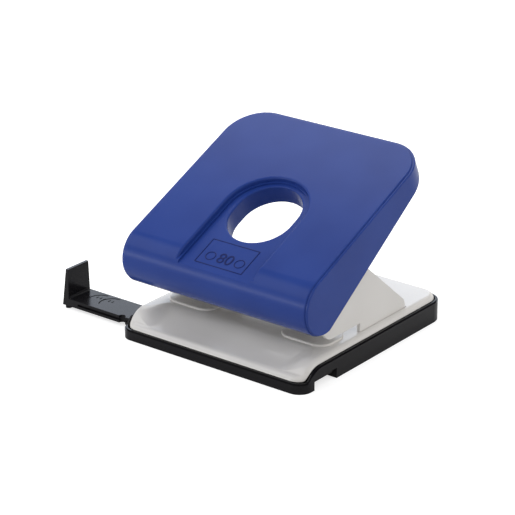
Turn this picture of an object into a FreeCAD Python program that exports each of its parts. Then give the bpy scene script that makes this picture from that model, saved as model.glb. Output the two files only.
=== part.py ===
"""Two-hole desk punch with a broad moulded lever, a paper guide rail and a chip tray.

Frame: X to the right, Y to the rear, Z up, in millimetres.  The origin is the middle of the
footprint on the desk.  The user stands at -Y, feeds paper in from the front and presses the
lever down on its raised rear end.
"""
import FreeCAD, Part
import math
import os

V = FreeCAD.Vector

# ---- punching pattern -------------------------------------------------------------------
hole_spacing = 80.0        # centre distance of the punched holes
hole_margin = 12.0         # from the paper's edge to the hole centres
punch_dia = 5.5
punch_inset = 39.9         # from the plate's front edge to the line of the two punches
run_gap = 0.05             # radial running clearance of punches, axle and studs
touch_gap = 0.1            # gap left where one moving part bears on another
tool_reach = 80.0          # half the length of a tool that cuts right through

# ---- base plate: pressed and painted sheet ----------------------------------------------
plate_width = 125.0
plate_depth = 134.2
plate_corner = 8.0         # plan radius of the front corners
plate_rear_corner = 11.0
plate_top = 15.2
plate_sheet = 1.2
plate_shoulder = 3.2       # radius between the top and the turned-down edge
plate_edge_drop = 2.7      # height of the turned-down edge
table_margin = 12.5        # from the plate's side to the middle of the table's blend
table_blend = 4.0          # half the width of that blend
pad_length = 33.0          # raised pad round each die
pad_width = 24.0
pad_corner = 8.5
pad_rise = 1.2
pad_round = 0.8

# the front of the base steps down to the desk in an S of two arcs and a slope
step_length = 15.9         # from the front edge to where the flat top ends
step_drop = 6.3
step_crest = 14.0          # radius of the upper arc
step_trough = 2.0          # and of the lower one
step_slope = 45.0

# the paper table's dish, as (y from the end of the flat top, drop below that top)
table_line = [(-24.8, 6.26), (-17.8, 6.26), (-12.8, 6.26), (-10.3, 6.2), (-7.8, 6.0),
              (-4.8, 5.5), (-1.8, 4.8), (1.2, 3.8), (4.2, 2.4), (7.2, 1.0),
              (10.2, 0.15), (13.2, -0.05), (17.2, -0.05), (23.2, -0.05)]

# ---- bearing frame: steel channel with two ears ------------------------------------------
frame_sheet = 2.0
frame_bend = 0.6           # inner radius of the bend between web and ear
ear_margin = 3.9           # from the plate's side to the outside of an ear
ear_slot_depth = 19.2      # from the punches back to the end of the paper slot
ear_slot_top = 20.5
ear_slot_front = 13.5      # of the slot's straight top edge, from the axle
ear_rear_margin = 31.1     # from the plate's rear edge to the ear's rear edge
ear_boss = 8.0             # radius of the ear round the axle
ear_peak = 46.5            # from the axle back to the upper end of the ear's sloping edge
ear_peak_drop = 2.2        # of that corner, below the top of the boss
ear_heel = 5.4             # height of the ear's sloping edge over the plate at the rear
slot_room = 0.3            # room between an ear and its slot in the plate
web_window = 52.0          # width of the opening in the web over the chip tray
web_window_front = 6.0     # web left in front of that opening, from the end of the slot
web_window_rear = 10.0     # web left behind it
web_front_room = 4.0       # web left in front of the rail saddles' rivets

# ---- lever -------------------------------------------------------------------------------
pivot_inset = 21.8         # from the punches forward to the axle
pivot_z = 46.0
lever_angle = 24.0         # slope of the lever's top at rest
lever_travel = 24.0        # degrees from rest to fully pressed
skirt_room = 3.8           # between an ear and the inside of the lever's skirt
lever_nose = 17.0          # outer radius of the nose, concentric with the axle
lever_length = 113.2       # from the axle to the rear end, along the top
lever_wedge = 11.1         # angle between the top and the lower edge of the skirt
skirt_low = 15.0           # from the axle to that lower edge
lever_wall = 2.2
lever_corner = 22.5        # plan radius of the rear corners
ledge_width = 1.5          # low ledge that runs round the sides and the rear of the top
ledge_drop = 0.7
lever_round = 0.6          # rounding of the top edge and of the ledge
nose_lip = 9.0             # from the axle forward to the front wall's end under the nose
hole_width = 40.0          # thumb hole
hole_length = 45.6
hole_along = 39.4          # its centre, from the axle along the top
hole_tube = 11.2           # depth of its collar under the recess floor
hole_round = 0.8           # rounding of its mouth
recess_depth = 3.8
recess_ring = 2.1          # floor left behind the thumb hole
recess_step = 1.2          # ledge in the wall of the recess
recess_step_depth = 2.7
recess_lip = 1.2           # rounding of its upper edge

# ---- lever plate: the steel inside the moulded lever --------------------------------------
lever_sheet = 1.8
lever_ear_gap = 0.3        # between its side flanges and the ears
lever_plate_margin = 16.6  # from its rear edge to the end of the lever
lever_plate_front = 7.0    # how far its web runs in front of the axle
lever_boss = 8.0
lever_plate_drop = 10.5    # from the axle down to the flanges' lower edge at the press bar
hole_room = 2.0            # round the collar of the thumb hole

# ---- axle, press bar, punches, springs ----------------------------------------------------
axle_dia = 5.0
axle_bevel = 0.4
axle_tail = 1.2            # of the axle beyond its clips
clip_thickness = 0.8
clip_dia = 9.0
clip_notch = 1.3
groove_dia = 4.0
bar_dia = 6.0
bar_radius = 21.8          # from the axle to the press bar
punch_head_dia = 11.0
punch_head = 1.9
punch_scoop = 6.6          # diameter of the hollow ground across the cutting end
punch_scoop_rise = 0.9     # how far that hollow rises over the two points
tip_inset = 0.2            # from the guide's underside up to the punch points at rest
spring_wire = 0.9
spring_dia = 9.4
spring_turns = 4.0
spring_sides = 6           # flats that stand for the round wire

# ---- guide channel: carries the punches between the ears ----------------------------------
channel_sheet = 1.5
channel_low = 22.4
channel_high = 30.5
channel_front = 5.2        # from the punches forward to its open front
channel_window = 36.0      # width of the opening in its back
channel_window_rim = 3.0
stop_width = 10.0          # the two legs that stop the paper
stop_along = 24.0

# ---- dies ---------------------------------------------------------------------------------
die_dia = 12.0
die_neck = 8.0             # the part of it that shows in the pad
die_height = 6.2
die_relief = 7.0           # wider bore under the cutting edge
die_land = 2.4

# ---- chip tray: moulded base --------------------------------------------------------------
tray_side = 2.2            # how far the tray stands out beyond the plate at the sides
tray_end = 2.1             # and at the front and rear
tray_corner = 8.2
tray_rear_corner = 12.5
tray_wall = 1.7
tray_floor = 1.5
rim_gap = 0.1              # between its rim and the plate's turned-down edge
rim_rebate = 0.8           # step round the rim's outer edge
rim_relief = 0.6           # by which its rear is lower, to swing clear of the plate
post_dia = 6.0
post_inset = 11.5          # of the posts that carry the plate, from its sides
post_front = 15.3          # of the front pair, behind the punches
post_rear = 15.1           # of the rear pair, from the plate's rear edge
grip_inset = 8.9           # finger grip in the right wall, from the plate's front edge
grip_length = 20.2
grip_height = 3.8
grip_reach = 6.5
grip_panel = 1.65          # how far the wall is set back above the grip
grip_top = 6.1
hinge_inset = 1.1          # of the tray's studs, from the plate's rear edge
hinge_z = 5.0
hinge_margin = 15.9        # of the hinge tabs, from the plate's sides
hinge_tab = 2.4            # radius of the tab round the stud
stud_dia = 2.4
stud_room = 0.4            # beside the tab
stud_lug = 2.0             # thickness of the lug that carries the stud
notch_room = 1.2           # beside the guide rail where it passes the wall

# ---- paper guide ---------------------------------------------------------------------------
rail_inset = 9.6           # from the plate's front edge to the rail
rail_width = 19.0
rail_low = 2.0
rail_high = 6.6
rail_out = 51.0            # from the plate's side to the upright's inner face
rail_inner_end = 5.8
rail_web = 1.8
rail_rib = 2.0             # side ribs left beside the hollow in its underside
rail_end_wall = 3.0
groove_low = 3.6
groove_high = 4.9
groove_depth = 1.3
groove_start = 7.0         # from the upright's inner face
upright_foot = 4.5         # thickness of the upright at its foot
upright_tip = 1.8
upright_top = 24.7
upright_draft = (0.5, 1.0)  # by which its front and rear edges lean in at the top
upright_round = 1.5        # at its inner foot
tick_inset = 10.0          # of the half-round notch in the rail, from the plate's side
tick_dia = 4.4
foot_inset = 2.8           # of the small foot under the upright, from its front edge
foot_dia = 4.0
rail_slack = 0.15
saddle_sheet = 0.8
saddle_width = 8.0
saddle_gap = 1.0           # between the left die and the right saddle
saddle_rivet_back = 6.5    # from the rail to the rivet behind it
saddle_flange = 11.0       # depth of the flange under that rivet
leaf_sheet = 0.4
leaf_length = 15.0
leaf_width = 6.0
leaf_rise = 0.4            # how far the leaf stands over the saddle's bridge

# ---- fasteners ------------------------------------------------------------------------------
rivet_dia = 3.2
rivet_head_dia = 6.0
rivet_head = 0.7
rivet_bevel = 0.4
rivet_inset = 12.6         # of the frame rivets, from the inside of an ear
rivet_front = 4.0          # behind the end of the paper slot
rivet_rear = 8.0           # in front of the ear's rear edge
screw_dia = 3.0
screw_head_dia = 6.0
screw_head = 1.8
screw_bite = 4.2           # how deep a screw goes into its boss
screw_boss = 7.0
screw_across = 42.0
screw_along = (8.0, 80.0)
cross_length = 3.6         # cross recess in the screw's head
cross_width = 0.8
cross_depth = 0.9

# ---- places that follow from the sizes above ---------------------------------------------------
plate_front = -plate_depth / 2
plate_rear = plate_depth / 2
plate_side = plate_width / 2
plate_under = plate_top - plate_sheet
step_start = plate_front + step_length
table_half_width = plate_side - table_margin
pad_top = plate_top + pad_rise
pad_under = pad_top - plate_sheet
punch_x = hole_spacing / 2
punch_y = plate_front + punch_inset
stop_y = punch_y + hole_margin
web_low = plate_under - frame_sheet
ear_outside = plate_side - ear_margin
ear_inside = ear_outside - frame_sheet
ear_slot_end = punch_y + ear_slot_depth
ear_rear = plate_rear - ear_rear_margin
pivot_y = punch_y - pivot_inset
skirt_inside = ear_outside + skirt_room
lever_width = 2 * (skirt_inside + lever_wall)
recess_radius = hole_length / 2 + recess_ring
recess_floor = lever_nose - recess_depth
cover_under = lever_nose - lever_wall
web_top = recess_floor - lever_wall - 2 * touch_gap
lever_plate_end = lever_length - lever_plate_margin
flange_outside = ear_inside - lever_ear_gap
bar_rest = lever_travel / 2
bar_z = pivot_z + bar_radius * math.sin(math.radians(bar_rest))
head_top = bar_z - bar_dia / 2 - touch_gap
punch_tip = channel_low + tip_inset
hinge_y = plate_rear - hinge_inset
hinge_along = plate_side - hinge_margin
tray_rim = plate_top - plate_edge_drop - rim_gap
tray_width = plate_width + 2 * tray_side
tray_depth = plate_depth + 2 * tray_end
tray_half = tray_width / 2
tray_inside_rear = tray_depth / 2 - tray_wall
grip_front = plate_front + grip_inset
grip_rear = grip_front + grip_length
rail_front = plate_front + rail_inset
rail_rear = rail_front + rail_width
rail_left = -plate_side - rail_out
saddle_x = {"left": -(punch_x + die_dia / 2 + plate_side) / 2,
            "right": die_dia / 2 + saddle_gap + saddle_width / 2 - punch_x}
saddle_rivet_y = rail_rear + saddle_rivet_back
rivet_places = [(x, y) for x in (rivet_inset - ear_inside, ear_inside - rivet_inset)
                for y in (ear_slot_end + rivet_front, ear_rear - rivet_rear)]
screw_places = [(x, along) for x in (-screw_across, screw_across) for along in screw_along]


# ---- small helpers -----------------------------------------------------------------------
def block(x0, x1, y0, y1, z0, z1):
    return Part.makeBox(x1 - x0, y1 - y0, z1 - z0, V(x0, y0, z0))


def rod(start, along, dia):
    return Part.makeCylinder(dia / 2, along.Length, start, along)


def through(x, y, dia):
    """An upright tool that drills right through."""
    return rod(V(x, y, -tool_reach), V(0, 0, 2 * tool_reach), dia)


def across(y, z, dia):
    """A tool along X that drills right through."""
    return rod(V(-tool_reach, y, z), V(2 * tool_reach, 0, 0), dia)


def upright_edges(solid):
    return [e for e in solid.Edges if abs(e.tangentAt(e.FirstParameter).z) > 0.99]


def side_prism(outline, x0, x1):
    """Extrude a closed outline of (y, z) points from x0 to x1."""
    points = [V(x0, y, z) for y, z in outline]
    face = Part.Face(Part.makePolygon(points + points[:1]))
    return face.extrude(V(x1 - x0, 0, 0))


def plan_block(width, depth, corner, rear_corner, z0, z1):
    """A block centred on the origin with rounded upright corners."""
    solid = block(-width / 2, width / 2, -depth / 2, depth / 2, z0, z1)
    for radius, side in ((corner, -1), (rear_corner, 1)):
        edges = [e for e in upright_edges(solid) if side * e.BoundBox.YMin > depth / 2 - 0.01]
        solid = solid.makeFillet(radius, edges)
    return solid


def stadium(cy, length, width, z0, z1):
    """An upright bar with round ends, lying along Y."""
    half = (length - width) / 2
    bar = block(-width / 2, width / 2, cy - half, cy + half, z0, z1)
    for end in (-half, half):
        bar = bar.fuse(rod(V(0, cy + end, z0), V(0, 0, z1 - z0), width))
    return bar.removeSplitter()


def mirrored(shape):
    return shape.mirror(V(0, 0, 0), V(1, 0, 0))


def both_sides(shape):
    return Part.makeCompound([shape, mirrored(shape)])


def on_lever(shape):
    """Place a shape drawn along the lever (X, along, up from the axle) at the rest angle."""
    placed = shape.copy()
    placed.rotate(V(0, 0, 0), V(1, 0, 0), lever_angle)
    placed.translate(V(0, pivot_y, pivot_z))
    return placed


def step_prism(top, drop, half, level):
    """A slab under the stepped front of the base, from z = level up to its surface."""
    slope = math.radians(step_slope)
    side, fall = math.sin(slope), 1 - math.cos(slope)
    half_side, half_fall = math.sin(slope / 2), 1 - math.cos(slope / 2)
    run = (drop - (step_crest + step_trough) * fall) / math.tan(slope)
    far = plate_depth
    flat = V(-half, step_start, top)
    crest = flat - V(0, step_crest * side, step_crest * fall)
    trough = V(-half, crest.y - run, top - drop + step_trough * fall)
    front = V(-half, trough.y - step_trough * side, top - drop)
    crown = Part.Arc(flat, flat - V(0, step_crest * half_side, step_crest * half_fall), crest)
    hollow = Part.Arc(trough, front + V(0, step_trough * half_side, step_trough * half_fall),
                      front)
    corners = [front, V(-half, -far, front.z), V(-half, -far, level), V(-half, far, level),
               V(-half, far, top), flat]
    edges = [crown.toShape(), Part.makeLine(crest, trough), hollow.toShape()]
    edges += [Part.makeLine(p, q) for p, q in zip(corners, corners[1:])]
    return Part.Face(Part.Wire(edges)).extrude(V(2 * half, 0, 0))


def step_height(y):
    """Drop of the stepped front below the flat top, read off the S at one place."""
    slab = step_prism(plate_top, step_drop, 1.0, 0.0)
    column = slab.common(block(-0.5, 0.5, y - 0.01, y + 0.01, 0.0, 2 * plate_top))
    return plate_top - column.BoundBox.ZMax


def smooth_surface(poles):
    """Cubic surface over a grid of control points, rows along X."""
    rows, columns = len(poles), len(poles[0])
    row_knots = list(range(rows - 2))
    column_knots = list(range(columns - 2))
    row_mults = [4] + [1] * (rows - 4) + [4]
    column_mults = [4] + [1] * (columns - 4) + [4]
    surface = Part.BSplineSurface()
    surface.buildFromPolesMultsKnots(poles, row_mults, column_mults, row_knots,
                                     column_knots, False, False, 3, 3)
    return surface.toShape()


# ---- base ----------------------------------------------------------------------------------
def table_dish(lowered):
    """Everything above the dished paper table, as one cutting tool."""
    lift = 0.3
    reach = plate_side + 6
    blend = [(reach, 0.0), (table_half_width + 2 * table_blend, 0.0),
             (table_half_width + table_blend, 0.08), (table_half_width, 0.5),
             (table_half_width - table_blend, 0.92), (table_half_width - 2 * table_blend, 1.0),
             (table_half_width / 2, 1.0)]
    shares = [(-x, share) for x, share in blend] + [(0.0, 1.0)] + blend[::-1]
    places = [step_start + back for back, _ in table_line]
    margin = [step_height(y) - lift for y in places]
    poles = []
    for x, share in shares:
        drops = [m * (1 - share) + d * share for m, (_, d) in zip(margin, table_line)]
        poles.append([V(x, y, plate_top - lowered - drop) for y, drop in zip(places, drops)])
    return smooth_surface(poles).extrude(V(0, 0, tool_reach))


def pressed_form(inset, shoulder):
    """The solid under the sheet's outer surface, or its inner one when inset."""
    width, depth = plate_width - 2 * inset, plate_depth - 2 * inset
    form = step_prism(plate_top - inset, step_drop, plate_width, -5.0)
    form = form.common(plan_block(width, depth, plate_corner - inset,
                                  plate_rear_corner - inset, -6.0, 2 * plate_top))
    rim = []
    for edge in form.Edges:
        box = edge.BoundBox
        upright = box.XLength < 0.01 and box.YLength < 0.01
        crosswise = box.YLength < 0.01 and abs(abs(box.YMin) - depth / 2) > 0.01
        if box.ZMin > 0 and not upright and not crosswise:
            rim.append(edge)
    return form.makeFillet(shoulder, rim).cut(table_dish(inset))


def edge_trim():
    """The space under the plate's turned-down edge, following the tray's rim."""
    below = step_prism(plate_top - plate_edge_drop, step_drop, plate_width, -20.0)
    inset = plate_shoulder
    middle = plan_block(plate_width - 2 * inset, plate_depth - 2 * inset,
                        plate_corner - inset, plate_rear_corner - inset, -21.0,
                        2 * plate_top)
    return below.cut(middle)


def hinge_tabs():
    """Two tabs bent down from the plate's rear, with the holes for the tray's studs."""
    root = plate_under + 0.2
    front = hinge_y - 1.5 * hinge_tab
    outline = [(front, root), (hinge_y, root), (hinge_y, hinge_z + 2 * hinge_tab),
               (hinge_y + hinge_tab, hinge_z), (hinge_y, hinge_z - hinge_tab),
               (hinge_y - hinge_tab, hinge_z), (front, hinge_z + 1.5 * hinge_tab)]
    x0 = hinge_along - plate_sheet / 2
    tab = side_prism(outline, x0, x0 + plate_sheet)
    tab = tab.fuse(rod(V(x0, hinge_y, hinge_z), V(plate_sheet, 0, 0), 2 * hinge_tab))
    return both_sides(tab.cut(across(hinge_y, hinge_z, stud_dia + 2 * run_gap)))


def ear_slot(side):
    """The slot in the plate through which one ear stands up."""
    x0, x1 = sorted((side * (ear_inside - slot_room), side * (ear_outside + slot_room)))
    return block(x0, x1, ear_slot_end - slot_room, ear_rear + 4 * slot_room,
                 hinge_z, 2 * plate_top)


def die_pad(x):
    """(outer form, hollow under it) of the pad raised in the sheet round one die."""
    outer = plan_block(pad_length, pad_width, pad_corner, pad_corner, plate_under, pad_top)
    top_ring = [e for e in outer.Edges if e.BoundBox.ZMin > pad_top - 0.01]
    outer = outer.makeFillet(pad_round, top_ring)
    hollow = plan_block(pad_length - 2 * plate_sheet, pad_width - 2 * plate_sheet,
                        pad_corner - plate_sheet, pad_corner - plate_sheet,
                        plate_under, pad_under)
    for shape in (outer, hollow):
        shape.translate(V(x, punch_y, 0))
    return outer, hollow


def make_base_plate():
    plate = pressed_form(0.0, plate_shoulder)
    plate = plate.cut(pressed_form(plate_sheet, plate_shoulder - plate_sheet))
    plate = plate.cut(edge_trim())
    for side in (-1, 1):
        pad, hollow = die_pad(side * punch_x)
        plate = plate.fuse(pad).cut(hollow).cut(ear_slot(side))
        plate = plate.cut(through(side * punch_x, punch_y, die_neck))
    for x, y in rivet_places:
        plate = plate.cut(through(x, y, rivet_dia))
    return plate.fuse(hinge_tabs()).removeSplitter()


def ear_outline():
    """Side outline of an ear, from the web up to the axle and down its sloping rear edge."""
    bend = web_low + frame_sheet / 4
    boss_top = pivot_z + ear_boss
    peak_y, peak_z = pivot_y + ear_peak, boss_top - ear_peak_drop
    throat_y = pivot_y + ear_slot_front
    return [(ear_slot_end, bend), (ear_slot_end, ear_slot_top), (throat_y, ear_slot_top),
            (throat_y - 3.1, ear_slot_top + 1.1), (throat_y - ear_boss, ear_slot_top + 6.0),
            (pivot_y - 7.0, pivot_z - 4.0), (pivot_y - 3.0, boss_top - 0.6),
            (pivot_y, boss_top), (peak_y - 2.5, peak_z + 0.6), (peak_y, peak_z),
            (ear_rear - 1.8, plate_top + ear_heel), (ear_rear - 0.4, plate_top + 2.4),
            (ear_rear, bend)]


def make_bearing_frame():
    x0 = ear_inside
    front = saddle_rivet_y - web_front_room
    ear = side_prism(ear_outline(), x0, ear_outside)
    ear = ear.fuse(rod(V(x0, pivot_y, pivot_z), V(frame_sheet, 0, 0), 2 * ear_boss))
    web = block(-ear_outside, ear_outside, front, ear_rear, web_low, plate_under)
    outer_bends = [e for e in web.Edges
                   if abs(e.BoundBox.XMin) > ear_outside - 0.01 and e.BoundBox.XLength < 0.01
                   and e.BoundBox.YLength > 1 and e.BoundBox.ZMax < web_low + 0.01]
    web = web.makeFillet(frame_bend + frame_sheet / 2, outer_bends)
    ear = ear.common(block(0, ear_outside, -tool_reach, tool_reach, plate_under, tool_reach))
    frame = web.fuse(ear).fuse(mirrored(ear))
    for x in (-punch_x, punch_x):
        frame = frame.cut(through(x, punch_y, die_dia))
    window = block(-web_window / 2, web_window / 2, ear_slot_end - web_window_front,
                   ear_rear - web_window_rear, 0, 2 * plate_top)
    window = window.makeFillet(6.0, upright_edges(window))
    frame = frame.cut(across(pivot_y, pivot_z, axle_dia)).cut(window)
    for x, y in rivet_places + [(x, saddle_rivet_y) for x in saddle_x.values()]:
        frame = frame.cut(through(x, y, rivet_dia))
    return frame.removeSplitter()


def make_die_bush(x):
    """A bush whose shoulder bears under the pad and whose neck stands level with its top."""
    low = pad_top - die_height
    bush = rod(V(x, punch_y, low), V(0, 0, pad_under - low), die_dia)
    bush = bush.fuse(rod(V(x, punch_y, low), V(0, 0, die_height), die_neck))
    relief = rod(V(x, punch_y, low), V(0, 0, die_height - die_land), die_relief)
    return bush.cut(relief).cut(through(x, punch_y, punch_dia + 2 * run_gap)).removeSplitter()


def make_guide_channel():
    front, back = punch_y - channel_front, stop_y + channel_sheet
    channel = block(-ear_inside, ear_inside, front, back, channel_low, channel_high)
    hollow = block(-ear_inside + channel_sheet, ear_inside - channel_sheet, front - 1, stop_y,
                   channel_low + channel_sheet, channel_high - channel_sheet)
    channel = channel.cut(hollow)
    for x in (-stop_along, stop_along):
        leg = block(x - stop_width / 2, x + stop_width / 2, stop_y, back,
                    plate_top + touch_gap, channel_low)
        channel = channel.fuse(leg)
    for x in (-punch_x, punch_x):
        channel = channel.cut(through(x, punch_y, punch_dia + 2 * run_gap))
    window = block(-channel_window / 2, channel_window / 2, stop_y - 1, back + 1,
                   channel_low + channel_window_rim, channel_high - channel_window_rim)
    return channel.cut(window).removeSplitter()


def clip_groove(side):
    """Where a clip sits on the axle: (start, direction) against the outside of an ear."""
    start = min(side * ear_outside, side * (ear_outside + clip_thickness))
    return V(start, pivot_y, pivot_z), V(clip_thickness, 0, 0)


def make_lever_axle():
    half = ear_outside + clip_thickness + axle_tail
    axle = rod(V(-half, pivot_y, pivot_z), V(2 * half, 0, 0), axle_dia)
    ends = [e for e in axle.Edges if e.BoundBox.XLength < 0.01]
    axle = axle.makeChamfer(axle_bevel, ends)
    for side in (-1, 1):
        start, along = clip_groove(side)
        axle = axle.cut(rod(start, along, axle_dia + 2).cut(rod(start, along, groove_dia)))
    return axle


def make_axle_clip(side):
    start, along = clip_groove(side)
    clip = rod(start, along, clip_dia).cut(rod(start, along, groove_dia))
    mouth = block(start.x, start.x + clip_thickness, pivot_y - groove_dia / 2,
                  pivot_y + groove_dia / 2, pivot_z - clip_dia, pivot_z)
    clip = clip.cut(mouth)
    for angle in (60, -60):
        notch = rod(start + V(0, 0, 0.31 * clip_dia), along, clip_notch)
        notch.rotate(start, V(1, 0, 0), angle)
        clip = clip.cut(notch)
    return clip


def rivet_dome(x, y, low, outward):
    """A low bevelled rivet head from z = low, its smaller face on the outward side."""
    dome = rod(V(x, y, low), V(0, 0, rivet_head), rivet_head_dia)
    level = low + rivet_head if outward > 0 else low
    ring = [e for e in dome.Edges if e.BoundBox.ZLength < 0.01 and
            abs(e.BoundBox.ZMin - level) < 0.01]
    return dome.makeChamfer(rivet_bevel, ring)


def make_frame_rivets():
    """Four rivets with a head over the plate and one under the frame's web."""
    rivets = []
    for x, y in rivet_places:
        shank = rod(V(x, y, web_low), V(0, 0, plate_top - web_low), rivet_dia)
        whole = shank.fuse(rivet_dome(x, y, plate_top, 1))
        whole = whole.fuse(rivet_dome(x, y, web_low - rivet_head, -1))
        rivets.append(whole.removeSplitter())
    return Part.makeCompound(rivets)


def make_saddle_rivets():
    """Two rivets under the pads that hold the rail's saddles to the frame's web."""
    rivets = []
    low = web_low - saddle_sheet
    for x in saddle_x.values():
        shank = rod(V(x, saddle_rivet_y, low), V(0, 0, plate_under - low), rivet_dia)
        head = rivet_dome(x, saddle_rivet_y, low - rivet_head, -1)
        rivets.append(shank.fuse(head).removeSplitter())
    return Part.makeCompound(rivets)


def make_rail_saddle(x):
    """A strip bent round the guide rail, its lips in the rail's grooves."""
    front_in, rear_in = rail_front - rail_slack, rail_rear + rail_slack
    front_out, rear_out = front_in - saddle_sheet, rear_in + saddle_sheet
    lip_low, lip_high = groove_low + rail_slack, groove_high - rail_slack
    lip = groove_depth - rail_slack
    top_low = rail_high + rail_slack
    top_high = top_low + saddle_sheet
    flange_low, flange_end = web_low - saddle_sheet, rail_rear + saddle_flange
    outline = [(front_in + lip, lip_low), (front_out, lip_low), (front_out, top_high),
               (rear_in, top_high), (rear_in, web_low), (flange_end, web_low),
               (flange_end, flange_low), (rear_out, flange_low), (rear_out, lip_low),
               (rear_in - lip, lip_low), (rear_in - lip, lip_high), (rear_in, lip_high),
               (rear_in, top_low), (front_in, top_low), (front_in, lip_high),
               (front_in + lip, lip_high)]
    saddle = side_prism(outline, x - saddle_width / 2, x + saddle_width / 2)
    return saddle.cut(through(x, saddle_rivet_y, rivet_dia))


def make_rail_detent():
    """A leaf spring on the left saddle's bridge whose bump rides just over the rail."""
    root = saddle_x["left"] + saddle_width / 2
    low = rail_high + rail_slack + saddle_sheet
    rise = low + leaf_rise
    bump = 0.65 * leaf_length
    points = [(root - saddle_width, low), (root, low), (root + 0.2 * leaf_length, rise),
              (root + bump - 2, rise), (root + bump, rail_high + rail_slack),
              (root + bump + 2, rise), (root + leaf_length, rise)]
    upper = [(x, z + leaf_sheet) for x, z in reversed(points)]
    front = (rail_front + rail_rear - leaf_width) / 2
    outline = [V(x, front, z) for x, z in points + upper]
    face = Part.Face(Part.makePolygon(outline + outline[:1]))
    return face.extrude(V(0, leaf_width, 0))


# ---- lever ---------------------------------------------------------------------------------
def cover_profile(radius, end, half):
    """The lever's side profile extruded over a width, drawn along the lever."""
    wedge = math.radians(lever_wedge)
    sine, cosine = math.sin(wedge), math.cos(wedge)
    reach = math.sqrt(radius ** 2 - skirt_low ** 2)
    low = V(-half, skirt_low * sine - reach * cosine, -skirt_low * cosine - reach * sine)
    a, b = V(-half, 0, radius), V(-half, end, radius)
    c = V(-half, end, end * math.tan(wedge) - skirt_low / cosine)
    front = Part.Arc(low, V(-half, -radius, 0), a).toShape()
    wire = Part.Wire([Part.makeLine(a, b), Part.makeLine(b, c), Part.makeLine(c, low), front])
    return Part.Face(wire).extrude(V(2 * half, 0, 0))


def cover_layer(drop, inset):
    """The lever's outer form, lowered at the top, narrowed, and rounded along its top edge."""
    radius, end, half = lever_nose - drop, lever_length - inset, lever_width / 2 - inset
    form = cover_profile(radius, end, half)
    form = form.makeFillet(lever_corner - inset, rear_corners(form, end))
    rim = [e for e in form.Edges if abs(e.BoundBox.ZMax - radius) < 0.01
           and (e.BoundBox.XLength < 2 * half - 1 or e.BoundBox.YMin > end - 0.01)]
    return form.makeFillet(lever_round, rim)


def rear_corners(solid, end):
    return [e for e in upright_edges(solid) if e.BoundBox.YMin > end - 0.1]


def cover_hollow():
    """The space inside the moulded lever, open below."""
    end = lever_length - lever_wall
    radius = lever_nose - lever_wall
    lip_up = -math.sqrt(radius ** 2 - nose_lip ** 2)
    x0 = -skirt_inside
    points = [V(x0, -nose_lip, lip_up), V(x0, -nose_lip, -tool_reach), V(x0, end, -tool_reach),
              V(x0, end, radius), V(x0, 0, radius)]
    lines = [Part.makeLine(p, q) for p, q in zip(points, points[1:])]
    front = Part.Arc(points[-1], V(x0, -radius, 0), points[0]).toShape()
    hollow = Part.Face(Part.Wire(lines + [front])).extrude(V(2 * skirt_inside, 0, 0))
    return hollow.makeFillet(lever_corner - lever_wall, rear_corners(hollow, end))


def recess_form(radius, low):
    """A recess open towards the nose and round behind the thumb hole."""
    straight = block(-radius, radius, -2 * lever_nose, hole_along, low, tool_reach)
    return straight.fuse(rod(V(0, hole_along, low), V(0, 0, tool_reach - low), 2 * radius))


def thumb_form(room, low, high):
    """The thumb hole's form, widened by some room, from one level to another."""
    return stadium(hole_along, hole_length + 2 * room, hole_width + 2 * room, low, high)


def make_lever_cover():
    cover = cover_layer(ledge_drop, 0.0).fuse(cover_layer(0.0, ledge_width))
    under_floor = recess_form(recess_radius + lever_wall, recess_floor - lever_wall)
    collar = thumb_form(lever_wall, recess_floor - hole_tube, recess_floor)
    cover = cover.cut(cover_hollow().cut(under_floor)).fuse(collar)
    cover = cover.cut(recess_form(recess_radius + recess_step,
                                  lever_nose - recess_step_depth))
    lip = [e for e in cover.Edges if abs(e.BoundBox.ZMin - lever_nose) < 0.01
           and e.BoundBox.ZLength < 0.01 and e.BoundBox.YMin > -0.01
           and abs(e.BoundBox.XMax) < recess_radius + recess_step + 0.01
           and abs(e.BoundBox.XMin) < recess_radius + recess_step + 0.01
           and e.BoundBox.YLength > 1]
    cover = cover.makeFillet(recess_lip, lip)
    cover = cover.cut(recess_form(recess_radius, recess_floor))
    for x, along in screw_places:
        boss = rod(V(x, along, web_top), V(0, 0, cover_under - web_top), screw_boss)
        bore = rod(V(x, along, web_top), V(0, 0, screw_bite + 3 * touch_gap), screw_dia)
        cover = cover.fuse(boss).cut(bore)
    cover = cover.cut(thumb_form(0.0, -tool_reach, tool_reach))
    mouth = [e for e in cover.Edges if abs(e.BoundBox.ZMin - recess_floor) < 0.01
             and e.BoundBox.ZLength < 0.01 and e.BoundBox.XLength < hole_width + 0.1
             and e.BoundBox.YMin > 0 and e.BoundBox.YMax < hole_along + hole_length / 2 + 0.1]
    return on_lever(cover.makeFillet(hole_round, mouth).removeSplitter())


def press_bar_rod(half):
    angle = math.radians(bar_rest - lever_angle)
    start = V(-half, bar_radius * math.cos(angle), bar_radius * math.sin(angle))
    return rod(start, V(2 * half, 0, 0), bar_dia)


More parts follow.
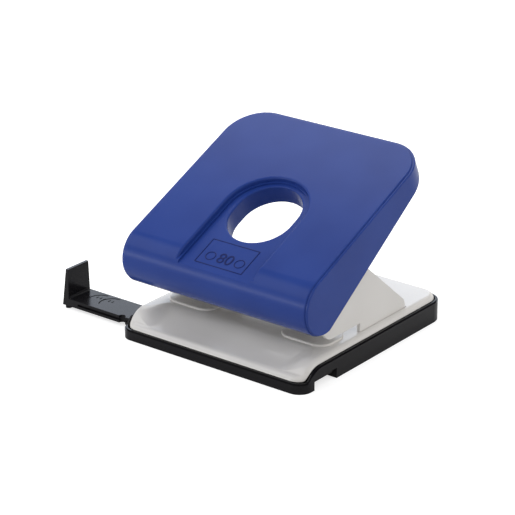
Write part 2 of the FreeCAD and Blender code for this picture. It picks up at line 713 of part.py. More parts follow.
def make_lever_plate():
    """A channel under the moulded cover: a web with a window and two flanges on the axle."""
    x0 = flange_outside - lever_sheet
    outline = [(-lever_boss, 0.0), (-lever_plate_front, web_top), (lever_plate_end, web_top),
               (lever_plate_end, web_top - lever_sheet), (bar_radius + 18.0, -3.6),
               (bar_radius + 5.0, -lever_plate_drop), (bar_radius - 6.0, -lever_plate_drop),
               (0.0, -lever_boss)]
    flange = side_prism(outline, x0, flange_outside)
    flange = flange.fuse(rod(V(x0, 0, 0), V(lever_sheet, 0, 0), 2 * lever_boss))
    web = block(-flange_outside, flange_outside, -lever_plate_front, lever_plate_end,
                web_top - lever_sheet, web_top)
    plate = web.fuse(flange).fuse(mirrored(flange))
    plate = plate.cut(thumb_form(lever_wall + hole_room, -tool_reach, tool_reach))
    plate = plate.cut(across(0, 0, axle_dia + 2 * run_gap)).cut(press_bar_rod(tool_reach))
    for x, along in screw_places:
        plate = plate.cut(through(x, along, screw_dia))
    return on_lever(plate.removeSplitter())


def make_press_bar():
    return on_lever(press_bar_rod(flange_outside))


def make_cover_screws():
    """Cross-head screws that hold the moulded cover on the lever plate, from below."""
    screws = []
    under = web_top - lever_sheet
    for x, along in screw_places:
        shank = rod(V(x, along, under), V(0, 0, lever_sheet + screw_bite), screw_dia)
        head = rod(V(x, along, under - screw_head), V(0, 0, screw_head), screw_head_dia)
        ring = [e for e in head.Edges if e.BoundBox.ZMax < under - screw_head + 0.01]
        head = head.makeChamfer(screw_head / 3, ring)
        for length, width in ((cross_length, cross_width), (cross_width, cross_length)):
            head = head.cut(block(x - length / 2, x + length / 2, along - width / 2,
                                  along + width / 2, under - screw_head - 1,
                                  under - screw_head + cross_depth))
        screws.append(shank.fuse(head).removeSplitter())
    return on_lever(Part.makeCompound(screws))


# ---- punches ---------------------------------------------------------------------------------
def make_punch_pin(x):
    """A headed pin whose end is ground hollow, so that two points start the cut."""
    pin = rod(V(x, punch_y, punch_tip), V(0, 0, head_top - punch_tip), punch_dia)
    scoop = rod(V(x - punch_dia, punch_y, punch_tip + punch_scoop_rise - punch_scoop / 2),
                V(2 * punch_dia, 0, 0), punch_scoop)
    head = rod(V(x, punch_y, head_top - punch_head), V(0, 0, punch_head), punch_head_dia)
    head = head.makeChamfer(punch_head / 3, [e for e in head.Edges
                                             if e.BoundBox.ZMin > head_top - 0.01])
    return pin.cut(scoop).fuse(head).removeSplitter()


def make_return_spring(x):
    """A coil spring between the guide channel and the punch's head."""
    low = channel_high + spring_wire / 2
    rise = head_top - punch_head - spring_wire / 2 - low
    radius = (spring_dia - spring_wire) / 2
    helix = Part.makeHelix(rise / spring_turns, rise, radius)
    corners = []
    for corner in range(spring_sides + 1):
        turn = 2 * math.pi * (corner + 0.5) / spring_sides
        corners.append(V(radius + spring_wire / 2 * math.cos(turn), 0,
                         spring_wire / 2 * math.sin(turn)))
    spring = Part.Wire(helix.Edges).makePipeShell([Part.makePolygon(corners)], True, True)
    spring.translate(V(x, punch_y, low))
    return spring


# ---- paper guide --------------------------------------------------------------------------------
def make_paper_guide():
    """The guide rail with a hollow underside and a groove in either side, and its upright."""
    rail = block(rail_left, rail_inner_end, rail_front, rail_rear, rail_low, rail_high)
    side_wall = groove_depth + rail_rib
    trough = block(rail_left + groove_start, rail_inner_end - rail_end_wall,
                   rail_front + side_wall, rail_rear - side_wall, 0, rail_high - rail_web)
    rail = rail.cut(trough)
    for y0, y1 in ((rail_front - 1, rail_front + groove_depth),
                   (rail_rear - groove_depth, rail_rear + 1)):
        groove = block(rail_left + groove_start, rail_inner_end + 1, y0, y1,
                       groove_low, groove_high)
        rail = rail.cut(groove)
    outlines = []
    for thickness, leans, z in ((upright_foot, (0, 0), rail_low),
                                (upright_tip, upright_draft, upright_top)):
        front, rear = rail_front + leans[0], rail_rear - leans[1]
        corners = [V(rail_left, front, z), V(rail_left, rear, z),
                   V(rail_left - thickness, rear, z), V(rail_left - thickness, front, z)]
        outlines.append(Part.makePolygon(corners + corners[:1]))
    upright = Part.makeLoft(outlines, True, True)
    rail = rail.fuse(upright).cut(through(-plate_side - tick_inset, rail_front, tick_dia))
    front, rear = rail_front + upright_draft[0], rail_rear - upright_draft[1]
    inner, level = rail_left + upright_round, rail_high + upright_round
    corner = block(rail_left, inner, front, rear, rail_high, level)
    rail = rail.fuse(corner.cut(rod(V(inner, front, level), V(0, rear - front, 0),
                                    2 * upright_round)))
    foot = rod(V(rail_left - upright_foot / 2, rail_front + foot_inset, 0),
               V(0, 0, rail_low), foot_dia)
    return rail.fuse(foot).removeSplitter()


# ---- chip tray ----------------------------------------------------------------------------------
def hinge_stud():
    """Lug and stud of the tray on which it swings down from the plate's hinge tab."""
    lug_in = hinge_along - plate_sheet / 2 - stud_room
    lug = block(lug_in - stud_lug, lug_in, hinge_y - hinge_tab, tray_inside_rear + 0.2,
                tray_floor / 2, hinge_z + hinge_tab)
    stud = rod(V(lug_in - stud_lug / 2, hinge_y, hinge_z),
               V(stud_lug / 2 + 2 * stud_room + plate_sheet, 0, 0), stud_dia)
    return lug.fuse(stud)


def support_post(inset, y, top):
    """A post on the tray's floor under the right half of the plate or frame."""
    return rod(V(plate_side - inset, y, tray_floor / 2), V(0, 0, top - tray_floor / 2), post_dia)


def finger_grip():
    """(material inside the right wall, space cut from it) of the grip that opens the tray."""
    inner_front, inner_rear = grip_front - tray_wall, grip_rear + tray_wall
    skin = tray_half - tray_wall / 2
    raised = block(tray_half - grip_reach - tray_wall, skin, inner_front, inner_rear,
                   tray_floor / 2, grip_height + tray_floor)
    panel = block(tray_half - grip_panel - tray_wall, skin, inner_front, inner_rear,
                  tray_floor / 2, grip_top + tray_wall)
    inner = raised.fuse(panel).common(step_prism(tray_rim, step_drop, tray_width, 0.0))
    grip = block(tray_half - grip_reach, tray_half + 1, grip_front, grip_rear, -1, grip_height)
    set_back = block(tray_half - grip_panel, tray_half + 1, grip_front, grip_rear, -1, grip_top)
    return inner, grip.fuse(set_back)


def make_chip_tray():
    tray = plan_block(tray_width, tray_depth, tray_corner, tray_rear_corner, 0.0, 2 * tray_rim)
    tray = tray.common(step_prism(tray_rim - rim_rebate, step_drop, tray_width, -1.0))
    rim = plan_block(tray_width - 2 * rim_rebate, tray_depth - 2 * rim_rebate,
                     tray_corner - rim_rebate, tray_rear_corner - rim_rebate, 0.0,
                     2 * tray_rim)
    tray = tray.fuse(rim.common(step_prism(tray_rim, step_drop, tray_width, -1.0)))
    inside = plan_block(tray_width - 2 * tray_wall, tray_depth - 2 * tray_wall,
                        tray_corner - tray_wall, tray_rear_corner - tray_wall, tray_floor,
                        3 * tray_rim)
    inner, space = finger_grip()
    tray = tray.cut(inside).fuse(inner).cut(space)
    notch = block(-tray_half - 1, -tray_half + tray_wall + 0.01, rail_front - notch_room,
                  rail_rear + notch_room, rail_low - touch_gap, 3 * tray_rim)
    slot_half = plate_sheet / 2 + stud_room
    slot = block(hinge_along - slot_half, hinge_along + slot_half, tray_inside_rear - 0.01,
                 tray_depth / 2 + 1, tray_floor, 3 * tray_rim)
    relief = block(-tray_half, tray_half, hinge_y, tray_depth, tray_rim - rim_relief, tool_reach)
    tray = tray.cut(notch).cut(slot).cut(mirrored(slot)).cut(relief)
    additions = [hinge_stud(), support_post(post_inset - 1.0, punch_y + post_front, web_low),
                 support_post(post_inset + 1.0, plate_rear - post_rear, plate_under)]
    for shape in additions:
        tray = tray.fuse(shape).fuse(mirrored(shape))
    return tray.removeSplitter()


def save(name, shape):
    shape.exportStep("parts/" + name + ".step")
    print(name, "solids", len(shape.Solids), "volume", round(shape.Volume, 1),
          "valid", shape.isValid())


def main():
    os.makedirs("parts", exist_ok=True)
    save("base_plate", make_base_plate())
    save("bearing_frame", make_bearing_frame())
    save("die_bush_left", make_die_bush(-punch_x))
    save("die_bush_right", make_die_bush(punch_x))
    save("guide_channel", make_guide_channel())
    save("lever_axle", make_lever_axle())
    save("axle_clip_left", make_axle_clip(-1))
    save("axle_clip_right", make_axle_clip(1))
    save("frame_rivets", make_frame_rivets())
    save("saddle_rivets", make_saddle_rivets())
    for side, x in saddle_x.items():
        save("rail_saddle_" + side, make_rail_saddle(x))
    save("rail_detent_spring", make_rail_detent())
    save("lever_cover", make_lever_cover())
    save("lever_plate", make_lever_plate())
    save("press_bar", make_press_bar())
    save("cover_screws", make_cover_screws())
    save("punch_pin_left", make_punch_pin(-punch_x))
    save("punch_pin_right", make_punch_pin(punch_x))
    save("return_spring_left", make_return_spring(-punch_x))
    save("return_spring_right", make_return_spring(punch_x))
    save("paper_guide", make_paper_guide())
    save("chip_tray", make_chip_tray())


main()
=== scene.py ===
"""Looks of a two-hole desk punch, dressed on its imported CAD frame.

Metres, +Z up, the user at -Y.  The sections follow the punch as it is put together.
"""
import math

import bpy
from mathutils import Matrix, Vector


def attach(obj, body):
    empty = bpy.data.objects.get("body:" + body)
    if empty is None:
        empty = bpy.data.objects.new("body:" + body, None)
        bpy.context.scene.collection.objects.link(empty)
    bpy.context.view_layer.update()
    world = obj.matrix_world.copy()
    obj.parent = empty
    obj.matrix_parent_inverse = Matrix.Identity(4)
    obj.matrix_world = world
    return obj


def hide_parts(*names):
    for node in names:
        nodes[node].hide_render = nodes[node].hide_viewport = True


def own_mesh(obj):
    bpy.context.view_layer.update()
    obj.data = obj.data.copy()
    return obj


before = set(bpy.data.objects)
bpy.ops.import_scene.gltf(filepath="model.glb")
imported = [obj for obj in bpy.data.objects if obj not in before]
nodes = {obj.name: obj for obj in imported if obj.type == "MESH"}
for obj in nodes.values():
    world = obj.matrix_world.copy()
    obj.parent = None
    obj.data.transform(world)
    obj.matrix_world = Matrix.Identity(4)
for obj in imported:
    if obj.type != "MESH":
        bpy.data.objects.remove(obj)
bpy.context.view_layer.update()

# ---- base plate and bearing frame -------------------------------------------------------------
# The base plate is deep-drawn sheet and the bearing frame a bent steel channel.  Both are
# dipped, then stoved with a light grey enamel that flows round their edges.


def linear(code):
    """An sRGB hex colour such as "#2B3F8F" as the linear RGBA that a shader takes."""
    parts = [int(code[i:i + 2], 16) / 255 for i in (1, 3, 5)]
    return [p / 12.92 if p <= 0.04045 else ((p + 0.055) / 1.055) ** 2.4 for p in parts] + [1.0]


def add_node(material, kind, settings=None, links=None):
    """Add a node; settings are its inputs or attributes, links are {input: (node, output)}."""
    made = material.node_tree.nodes.new(kind)
    for name, value in (settings or {}).items():
        if isinstance(name, int) or name in made.inputs:
            made.inputs[name].default_value = value
        else:
            setattr(made, name, value)
    for name, (source, output) in (links or {}).items():
        material.node_tree.links.new(source.outputs[output], made.inputs[name])
    return made


def new_material(name):
    """An empty node material and its output node."""
    material = bpy.data.materials.new(name)
    material.use_nodes = True
    material.node_tree.nodes.clear()
    return material, add_node(material, "ShaderNodeOutputMaterial")


def dress(names, material):
    """Give CAD nodes their finish."""
    for name in names:
        nodes[name].data.materials.clear()
        nodes[name].data.materials.append(material)


# Stoved enamel: smooth and satin, with the faint orange peel of sprayed paint about 1.2 mm
# across, and a cloudiness a few centimetres wide that keeps large faces from looking flat.
enamel, output = new_material("grey_stoved_enamel")
place = add_node(enamel, "ShaderNodeTexCoord")
peel = add_node(enamel, "ShaderNodeTexNoise", {"Scale": 1 / 0.0012, "Detail": 2.0},
                {"Vector": (place, "Object")})
clouds = add_node(enamel, "ShaderNodeTexNoise", {"Scale": 1 / 0.035, "Detail": 1.0},
                  {"Vector": (place, "Object")})
tint = add_node(enamel, "ShaderNodeValToRGB", {}, {"Fac": (clouds, "Fac")})
tint.color_ramp.elements[0].position = 0.3
tint.color_ramp.elements[0].color = linear("#DAD7D3")
tint.color_ramp.elements[1].position = 0.7
tint.color_ramp.elements[1].color = linear("#E0DDD9")
ripple = add_node(enamel, "ShaderNodeBump", {"Strength": 0.05, "Distance": 0.00006},
                  {"Height": (peel, "Fac")})
shader = add_node(enamel, "ShaderNodeBsdfPrincipled", {"IOR": 1.5, "Roughness": 0.2},
                  {"Base Color": (tint, "Color"), "Normal": (ripple, "Normal")})
enamel.node_tree.links.new(shader.outputs["BSDF"], output.inputs["Surface"])
dress(["base_plate", "bearing_frame", "guide_channel"], enamel)

# ---- chip tray and paper guide ----------------------------------------------------------------
# The tray that catches the chips and the paper guide are injection-moulded in black ABS.  The
# tray swings on two studs in the plate's rear tabs, and the guide slides through its left wall.

# Moulded ABS: the tool is spark-eroded, which leaves a fine satin grain of about 0.4 mm.
black_abs, output = new_material("black_abs_moulded")
place = add_node(black_abs, "ShaderNodeTexCoord")
grain = add_node(black_abs, "ShaderNodeTexNoise", {"Scale": 1 / 0.0004, "Detail": 3.0},
                 {"Vector": (place, "Object")})
tint = add_node(black_abs, "ShaderNodeValToRGB", {}, {"Fac": (grain, "Fac")})
tint.color_ramp.elements[0].position = 0.25
tint.color_ramp.elements[0].color = linear("#131214")
tint.color_ramp.elements[1].position = 0.75
tint.color_ramp.elements[1].color = linear("#1B1A1D")
ripple = add_node(black_abs, "ShaderNodeBump", {"Strength": 0.12, "Distance": 0.00005},
                  {"Height": (grain, "Fac")})
shader = add_node(black_abs, "ShaderNodeBsdfPrincipled",
                  {"IOR": 1.53, "Roughness": 0.22, "Specular IOR Level": 0.16},
                  {"Base Color": (tint, "Color"), "Normal": (ripple, "Normal")})
black_abs.node_tree.links.new(shader.outputs["BSDF"], output.inputs["Surface"])
dress(["chip_tray", "paper_guide"], black_abs)


def finish_mesh(piece, name, body, material):
    """Close a new piece: its place goes into its mesh, then its finish and its body are set."""
    piece.name = name
    bpy.ops.object.transform_apply(location=True, rotation=True, scale=True)
    piece.data.materials.clear()
    piece.data.materials.append(material)
    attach(piece, body)
    return piece


def ring_mark(middle, radius, width, height, start=0.0, turn=360.0, tilt=0.0):
    """A raised ring or arc with a softened top edge, moulded on a surface through middle."""
    bpy.ops.object.select_all(action="DESELECT")
    bpy.ops.mesh.primitive_circle_add(vertices=72, radius=radius, location=middle,
                                      rotation=(tilt, 0.0, 0.0))
    ring = bpy.context.object
    if turn < 360.0:
        bpy.ops.object.mode_set(mode="EDIT")
        bpy.ops.mesh.select_all(action="DESELECT")
        bpy.ops.object.mode_set(mode="OBJECT")
        for point in ring.data.vertices:
            angle = (math.degrees(math.atan2(point.co.y, point.co.x)) - start) % 360.0
            point.select = angle > turn
        bpy.ops.object.mode_set(mode="EDIT")
        bpy.ops.mesh.delete(type="VERT")
        bpy.ops.object.mode_set(mode="OBJECT")
    bpy.ops.object.mode_set(mode="EDIT")
    bpy.ops.mesh.select_all(action="SELECT")
    bpy.ops.mesh.extrude_edges_move()
    share = 1.0 - width / radius
    bpy.ops.transform.resize(value=(share, share, share), center_override=middle)
    bpy.ops.mesh.select_all(action="SELECT")
    bpy.ops.mesh.normals_make_consistent(inside=False)
    bpy.ops.object.mode_set(mode="OBJECT")
    wall = ring.modifiers.new("height", "SOLIDIFY")
    wall.thickness = 2 * height
    wall.offset = 0.0
    bpy.ops.object.modifier_apply(modifier="height")
    edge = ring.modifiers.new("edge", "BEVEL")
    edge.width = height / 2
    edge.segments = 2
    bpy.ops.object.modifier_apply(modifier="edge")
    return ring


def bar_mark(middle, length, width, height, turn=0.0, tilt=0.0):
    """A raised straight line with a softened top edge, length along X before it is turned."""
    bpy.ops.object.select_all(action="DESELECT")
    bpy.ops.mesh.primitive_cube_add(size=1.0, location=middle, rotation=(tilt, 0.0, turn))
    bar = bpy.context.object
    bar.scale = (length, width, 2 * height)
    bpy.ops.object.transform_apply(location=False, rotation=False, scale=True)
    edge = bar.modifiers.new("edge", "BEVEL")
    edge.width = height / 2
    edge.segments = 2
    bpy.ops.object.modifier_apply(modifier="edge")
    return bar


# Sheet-size marks on the rail: two stop arcs and a row of plain ticks.  They stand 0.1 mm proud
# in matt ABS, coloured a shade darker than the rail: painted shade for the shadow in engraved
# grooves.
matt_black, output = new_material("black_abs_mark_painted_shade")
place = add_node(matt_black, "ShaderNodeTexCoord")
mark_speckle = add_node(matt_black, "ShaderNodeTexNoise", {"Scale": 1 / 0.0005, "Detail": 2.0},
                {"Vector": (place, "Object")})
# Painted shade: near-black tones that stand in for the shadow in engraved grooves.
tint = add_node(matt_black, "ShaderNodeValToRGB", {}, {"Fac": (mark_speckle, "Fac")})
tint.color_ramp.elements[0].color = linear("#060606")
tint.color_ramp.elements[1].color = linear("#0E0D0F")
shader = add_node(matt_black, "ShaderNodeBsdfPrincipled",
                  {"IOR": 1.5, "Roughness": 0.7, "Specular IOR Level": 0.08},
                  {"Base Color": (tint, "Color")})
matt_black.node_tree.links.new(shader.outputs["BSDF"], output.inputs["Surface"])
rail_top = 0.0066
mark_height = 0.0001
arc_radius = 0.0077
arc_width = 0.0007
tick_length = 0.0022
tick_width = 0.0006
tick_y = -0.0455
for number, (middle, turn) in enumerate([
        ((-0.0978, -0.0478, rail_top), 118.0),
        ((-0.0890, -0.0476, rail_top), 128.0)], start=1):
    arc = ring_mark(middle, arc_radius, arc_width, mark_height, 90.0, turn)
    finish_mesh(arc, f"rail_stop_arc_{number}", "paper_guide", matt_black)
for number, along in enumerate((-0.1015, -0.0990, -0.0965, -0.0925, -0.0900), start=1):
    tick = bar_mark((along, tick_y, rail_top), tick_length, tick_width, mark_height,
                    math.radians(90.0))
    finish_mesh(tick, f"rail_tick_{number}", "paper_guide", matt_black)

# ---- axle, rivets and press bar ---------------------------------------------------------------
# The axle and the press bar are cut from drawn bright steel bar and fixed across the ears and
# the lever plate.  The rivets are headed from wire of the same steel.

# Drawn steel: bright, with fine draw marks along the bar about 0.15 mm apart.
drawn_steel, output = new_material("drawn_bright_steel")
place = add_node(drawn_steel, "ShaderNodeTexCoord")
stretch = add_node(drawn_steel, "ShaderNodeMapping", {"Scale": (200, 6500, 6500)},
                   {"Vector": (place, "Object")})
marks = add_node(drawn_steel, "ShaderNodeTexNoise", {"Scale": 1.0, "Detail": 2.0},
                 {"Vector": (stretch, "Vector")})
tint = add_node(drawn_steel, "ShaderNodeValToRGB", {}, {"Fac": (marks, "Fac")})
tint.color_ramp.elements[0].color = linear("#AEB0B3")
tint.color_ramp.elements[1].color = linear("#C9CBCD")
ripple = add_node(drawn_steel, "ShaderNodeBump", {"Strength": 0.1, "Distance": 0.00002},
                  {"Height": (marks, "Fac")})
shader = add_node(drawn_steel, "ShaderNodeBsdfPrincipled", {"Metallic": 1.0, "Roughness": 0.28},
                  {"Base Color": (tint, "Color"), "Normal": (ripple, "Normal")})
drawn_steel.node_tree.links.new(shader.outputs["BSDF"], output.inputs["Surface"])
dress(["lever_axle", "press_bar", "frame_rivets", "saddle_rivets"], drawn_steel)

# ---- punches and dies -------------------------------------------------------------------------
# The punches are turned, hardened and ground to slide in the guide channel.  The die bushes are
# ground too, and sit in the pads with their shoulders under the plate.

# Ground steel: grey and crisp, with grinding rings about 0.25 mm apart round the pin.
ground_steel, output = new_material("hardened_ground_steel")
place = add_node(ground_steel, "ShaderNodeTexCoord")
stretch = add_node(ground_steel, "ShaderNodeMapping", {"Scale": (300, 300, 4000)},
                   {"Vector": (place, "Object")})
marks = add_node(ground_steel, "ShaderNodeTexNoise", {"Scale": 1.0, "Detail": 2.0},
                 {"Vector": (stretch, "Vector")})
tint = add_node(ground_steel, "ShaderNodeValToRGB", {}, {"Fac": (marks, "Fac")})
tint.color_ramp.elements[0].color = linear("#8E9196")
tint.color_ramp.elements[1].color = linear("#A9ACB0")
ripple = add_node(ground_steel, "ShaderNodeBump", {"Strength": 0.1, "Distance": 0.00002},
                  {"Height": (marks, "Fac")})
shader = add_node(ground_steel, "ShaderNodeBsdfPrincipled", {"Metallic": 1.0, "Roughness": 0.3},
                  {"Base Color": (tint, "Color"), "Normal": (ripple, "Normal")})
ground_steel.node_tree.links.new(shader.outputs["BSDF"], output.inputs["Surface"])
dress(["die_bush_left", "die_bush_right", "punch_pin_left", "punch_pin_right"], ground_steel)

# ---- springs and clips ------------------------------------------------------------------------
# Coiled or stamped from oil-tempered spring steel, which comes out dark and a little blue.  The
# clips snap into grooves at the ends of the axle.

# Oil-tempered steel: a thin oxide whose tone drifts over a few millimetres.
spring_steel, output = new_material("oil_tempered_spring_steel")
place = add_node(spring_steel, "ShaderNodeTexCoord")
oxide = add_node(spring_steel, "ShaderNodeTexNoise", {"Scale": 1 / 0.004, "Detail": 2.0},
                 {"Vector": (place, "Object")})
tint = add_node(spring_steel, "ShaderNodeValToRGB", {}, {"Fac": (oxide, "Fac")})
tint.color_ramp.elements[0].color = linear("#5C5F66")
tint.color_ramp.elements[1].color = linear("#7B7A78")
shader = add_node(spring_steel, "ShaderNodeBsdfPrincipled", {"Metallic": 1.0, "Roughness": 0.34},
                  {"Base Color": (tint, "Color")})
spring_steel.node_tree.links.new(shader.outputs["BSDF"], output.inputs["Surface"])
dress(["axle_clip_left", "axle_clip_right", "rail_detent_spring", "return_spring_left",
       "return_spring_right"], spring_steel)

# The return springs are wound from round wire and stand between the guide channel and the
# punches' heads.  Each spring is fixed to its punch's body.
spring_wire = 0.0009
spring_radius = 0.00425       # to the middle of the wire
spring_turns = 5
spring_foot = 0.0305          # on the guide channel
spring_head = 0.04553         # under the punch's head
wire_sides = 16
steps_per_turn = 32
punch_x = 0.040               # half of the hole spacing
punch_y = -0.0272
for side, across in (("left", -punch_x), ("right", punch_x)):
    bpy.ops.object.select_all(action="DESELECT")
    bpy.ops.mesh.primitive_circle_add(vertices=wire_sides, radius=spring_wire / 2,
                                      rotation=(math.radians(90.0), 0.0, 0.0))
    bpy.ops.object.transform_apply(location=False, rotation=True, scale=False)
    spring = bpy.context.object
    bpy.ops.object.mode_set(mode="EDIT")
    bpy.ops.mesh.select_all(action="SELECT")
    bpy.ops.transform.translate(value=(spring_radius, 0.0, 0.0))
    bpy.ops.object.mode_set(mode="OBJECT")
    winding = spring.modifiers.new("winding", "SCREW")
    winding.axis = "Z"
    winding.angle = math.radians(360.0 * spring_turns)
    winding.screw_offset = spring_head - spring_foot - spring_wire
    winding.steps = winding.render_steps = steps_per_turn * spring_turns
    winding.use_normal_calculate = True
    bpy.ops.object.modifier_apply(modifier="winding")
    bpy.ops.object.mode_set(mode="EDIT")
    bpy.ops.mesh.select_all(action="DESELECT")
    bpy.ops.mesh.select_mode(type="EDGE")
    bpy.ops.mesh.select_non_manifold()
    bpy.ops.mesh.edge_face_add()
    bpy.ops.mesh.select_mode(type="VERT")
    bpy.ops.mesh.select_all(action="SELECT")
    bpy.ops.mesh.normals_make_consistent(inside=False)
    bpy.ops.object.mode_set(mode="OBJECT")
    bpy.ops.object.shade_smooth_by_angle(angle=math.radians(40.0))
    spring.location = (across, punch_y, spring_foot + spring_wire / 2)
    finish_mesh(spring, f"wound_spring_{side}", f"punch_{side}", spring_steel)
    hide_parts(f"return_spring_{side}")
    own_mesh(spring)

# ---- lever plate, saddles and screws ----------------------------------------------------------
# The lever plate and the saddles that carry the guide are bent from zinc-plated strip.  Four
# zinc-plated screws hold the moulded cover on the lever plate, from below.

# Zinc plate: soft grey-blue with a faint crystal pattern of about 2 mm.
zinc, output = new_material("zinc_plated_steel")
place = add_node(zinc, "ShaderNodeTexCoord")
crystals = add_node(zinc, "ShaderNodeTexVoronoi", {"Scale": 1 / 0.002},
                    {"Vector": (place, "Object")})
tint = add_node(zinc, "ShaderNodeValToRGB", {}, {"Fac": (crystals, "Distance")})
tint.color_ramp.elements[0].color = linear("#A7ACB3")
tint.color_ramp.elements[1].color = linear("#BDC1C6")
shader = add_node(zinc, "ShaderNodeBsdfPrincipled", {"Metallic": 1.0, "Roughness": 0.38},
                  {"Base Color": (tint, "Color")})
zinc.node_tree.links.new(shader.outputs["BSDF"], output.inputs["Surface"])
dress(["lever_plate", "rail_saddle_left", "rail_saddle_right", "cover_screws"], zinc)

# ---- lever cover ------------------------------------------------------------------------------
# The broad cover that the hand presses is injection-moulded in deep blue ABS, as a shell with
# the thumb hole and a recess in front of it.

# Moulded ABS: a satin grain of about 0.5 mm from the tool, over a colour mixed in the melt.
def blue_moulding(name, dark, light):
    """Blue ABS whose tone drifts between two near colours over about 30 mm."""
    material, output = new_material(name)
    place = add_node(material, "ShaderNodeTexCoord")
    grain = add_node(material, "ShaderNodeTexNoise", {"Scale": 1 / 0.0005, "Detail": 3.0},
                     {"Vector": (place, "Object")})
    clouds = add_node(material, "ShaderNodeTexNoise", {"Scale": 1 / 0.03, "Detail": 1.0},
                      {"Vector": (place, "Object")})
    tint = add_node(material, "ShaderNodeValToRGB", {}, {"Fac": (clouds, "Fac")})
    tint.color_ramp.elements[0].position = 0.3
    tint.color_ramp.elements[0].color = linear(dark)
    tint.color_ramp.elements[1].position = 0.7
    tint.color_ramp.elements[1].color = linear(light)
    ripple = add_node(material, "ShaderNodeBump", {"Strength": 0.08, "Distance": 0.00005},
                      {"Height": (grain, "Fac")})
    shader = add_node(material, "ShaderNodeBsdfPrincipled",
                      {"IOR": 1.53, "Roughness": 0.26, "Specular IOR Level": 0.18},
                      {"Base Color": (tint, "Color"), "Normal": (ripple, "Normal")})
    material.node_tree.links.new(shader.outputs["BSDF"], output.inputs["Surface"])
    return material


blue_abs = blue_moulding("blue_abs_moulded", "#233C86", "#27418D")
dress(["lever_cover"], blue_abs)

# Moulded panel on the recess floor: a thin frame round two rings and the hole spacing in
# millimetres.  The lines are engraved in the mould, so they stand up; their darker blue is
# painted shade, standing in for the shadow of an engraved line.
# Painted shade: the lines' dark blue stands in for the shadow in engraved lines.
shaded_line_blue = blue_moulding("blue_abs_line_painted_shade", "#17235A", "#1A2862")
lever_slope = math.radians(24.0)
axle = Vector((0.0, -0.049, 0.046))
floor_height = 0.0132         # of the recess, above the axle


def on_lever(across, along, height=floor_height):
    """The place of a point given across and along the lever, and above its axle."""
    run, rise = math.cos(lever_slope), math.sin(lever_slope)
    return Vector((across, axle.y + along * run - height * rise,
                   axle.z + along * rise + height * run))


line_height = 0.0002
line_width = 0.0005
ring_radius = 0.0032
number_size = 0.0105
marks_along = 0.0005          # of the rings and the number, along the lever from the axle
panel_left, panel_right, panel_front, panel_rear = -0.0164, 0.0159, -0.0060, 0.0125
panel_middle = ((panel_left + panel_right) / 2, (panel_front + panel_rear) / 2)
for name, across, along, length, width in [
        ("panel_line_rear", panel_middle[0], panel_rear, panel_right - panel_left, line_width),
        ("panel_line_front", panel_middle[0], panel_front, panel_right - panel_left, line_width),
        ("panel_line_left", panel_left, panel_middle[1], line_width, panel_rear - panel_front),
        ("panel_line_right", panel_right, panel_middle[1], line_width, panel_rear - panel_front)]:
    line = bar_mark(on_lever(across, along), length, width, line_height, 0.0, lever_slope)
    finish_mesh(line, name, "lever", shaded_line_blue)
for name, across in (("panel_ring_left", -0.0098), ("panel_ring_right", 0.0102)):
    ring = ring_mark(on_lever(across, marks_along), ring_radius, line_width, line_height,
                     tilt=lever_slope)
    finish_mesh(ring, name, "lever", shaded_line_blue)

bpy.ops.object.select_all(action="DESELECT")
bpy.ops.object.text_add()
spacing = bpy.context.object
spacing.data.body = "80"
spacing.data.align_x = "CENTER"
spacing.data.align_y = "CENTER"
spacing.data.size = number_size
spacing.data.extrude = line_height
bpy.ops.object.convert(target="MESH")
spacing = bpy.context.object
spacing.location = on_lever(0.0003, marks_along)
spacing.rotation_euler = (lever_slope, 0.0, 0.0)
finish_mesh(spacing, "panel_spacing_number", "lever", shaded_line_blue)

# ---- studio -----------------------------------------------------------------------------------
# A pale floor, five soft boxes and a camera before the right front corner.  The light is level
# enough for a colour to render about as it is written.
bpy.ops.object.select_all(action="DESELECT")
bpy.ops.mesh.primitive_plane_add(size=8.0)
floor = bpy.context.object
floor.name = "floor"

# Pale floor: matt, with the object's shadow, and lifted towards white for the camera.
paper, output = new_material("white_paper_floor")
path = add_node(paper, "ShaderNodeLightPath")
shone = add_node(paper, "ShaderNodeMath", {"operation": "MAXIMUM"},
                 {0: (path, "Is Glossy Ray"), 1: (path, "Is Transmission Ray")})
camera_lift = add_node(paper, "ShaderNodeMath", {"operation": "MULTIPLY", 1: 0.68},
                       {0: (path, "Is Camera Ray")})
lift = add_node(paper, "ShaderNodeMath", {"operation": "MULTIPLY_ADD", 1: 0.15},
                {0: (shone, "Value"), 2: (camera_lift, "Value")})
glow = add_node(paper, "ShaderNodeEmission", {"Color": (1, 1, 1, 1)},
                {"Strength": (lift, "Value")})
matt = add_node(paper, "ShaderNodeBsdfDiffuse", {"Color": linear("#D0D0D0")})
both = add_node(paper, "ShaderNodeAddShader", {}, {0: (glow, "Emission"), 1: (matt, "BSDF")})
paper.node_tree.links.new(both.outputs["Shader"], output.inputs["Surface"])
floor.data.materials.append(paper)

# The room: soft light, stronger from the window side behind the object, a white backdrop,
# and a dim ceiling in reflections.
world = bpy.data.worlds.new("studio")
bpy.context.scene.world = world
world.use_nodes = True
world.node_tree.nodes.clear()
sky_output = add_node(world, "ShaderNodeOutputWorld")
path = add_node(world, "ShaderNodeLightPath")
place = add_node(world, "ShaderNodeTexCoord")
parts = add_node(world, "ShaderNodeSeparateXYZ", {}, {"Vector": (place, "Generated")})
ceiling = add_node(world, "ShaderNodeMapRange",
                   {"From Min": 0.20, "From Max": 0.45, "To Min": 1.0, "To Max": 0.12},
                   {"Value": (parts, "Z")})
shone = add_node(world, "ShaderNodeMath", {"operation": "MAXIMUM"},
                 {0: (path, "Is Glossy Ray"), 1: (path, "Is Transmission Ray")})
window_side = add_node(world, "ShaderNodeMapRange",
                       {"From Min": -1.0, "From Max": 1.0, "To Min": 0.60, "To Max": 0.94},
                       {"Value": (parts, "Y")})
level = add_node(world, "ShaderNodeMix", {"data_type": "FLOAT"},
                 {"Factor": (shone, "Value"), "A": (window_side, "Result"),
                  "B": (ceiling, "Result")})
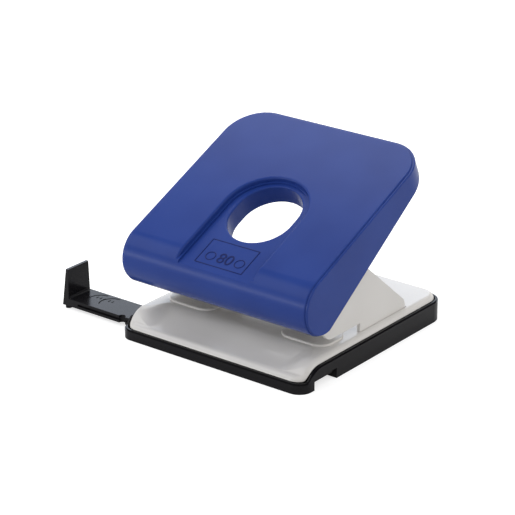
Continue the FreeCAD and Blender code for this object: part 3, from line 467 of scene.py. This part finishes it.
white = add_node(world, "ShaderNodeMix", {"data_type": "FLOAT", "B": 1.0},
                 {"Factor": (path, "Is Camera Ray"), "A": (level, "Result")})
sky = add_node(world, "ShaderNodeBackground", {"Color": (1, 1, 1, 1)},
               {"Strength": (white, "Result")})
world.node_tree.links.new(sky.outputs["Background"], sky_output.inputs["Surface"])

soft_boxes = {
    # name: (middle, where its face looks, width, depth, radiance, colour)
    "rear_panel": ((-0.35, 0.38, 0.58), (-0.35, 0.38, 0.0), 0.60, 0.44, 2.6, (1.0, 1.0, 1.0)),
    "upper_front_panel": ((-0.50, -0.50, 0.62), (-0.20, -0.20, 0.0), 0.80, 0.50, 1.4,
                          (0.95, 0.97, 1.0)),
    "low_front_panel": ((-0.72, -1.00, 0.13), (0.0, 0.0, 0.05), 0.80, 0.20, 3.2,
                        (0.95, 0.97, 1.0)),
    "right_panel": ((0.85, 0.25, 0.35), (0.0, 0.0, 0.05), 0.60, 0.40, 1.2, (1.0, 0.97, 0.93)),
    "low_panel": ((-0.67, 0.87, 0.45), (0.0, 0.0, 0.03), 0.70, 0.40, 1.9, (0.76, 0.85, 1.0)),
}
for name, (middle, looks_at, width, depth, radiance, colour) in soft_boxes.items():
    lamp = bpy.data.objects.new(name, bpy.data.lights.new(name, "AREA"))
    lamp.data.shape = "RECTANGLE"
    lamp.data.size = width
    lamp.data.size_y = depth
    lamp.data.energy = radiance * math.pi * width * depth
    lamp.data.color = colour
    lamp.location = middle
    lamp.rotation_euler = (Vector(looks_at) - Vector(middle)).to_track_quat("-Z", "Y").to_euler()
    bpy.context.scene.collection.objects.link(lamp)

camera_place = Vector((0.7192, -0.9509, 0.5281))
camera_target = Vector((-0.01928, 0.0, 0.03751))
camera = bpy.data.objects.new("camera", bpy.data.cameras.new("camera"))
camera.data.sensor_width = 36.0
camera.data.lens = 159.4
camera.location = camera_place
camera.rotation_euler = (camera_target - camera_place).to_track_quat("-Z", "Y").to_euler()
bpy.context.scene.collection.objects.link(camera)
bpy.context.scene.camera = camera
bpy.context.scene.view_settings.view_transform = "Standard"
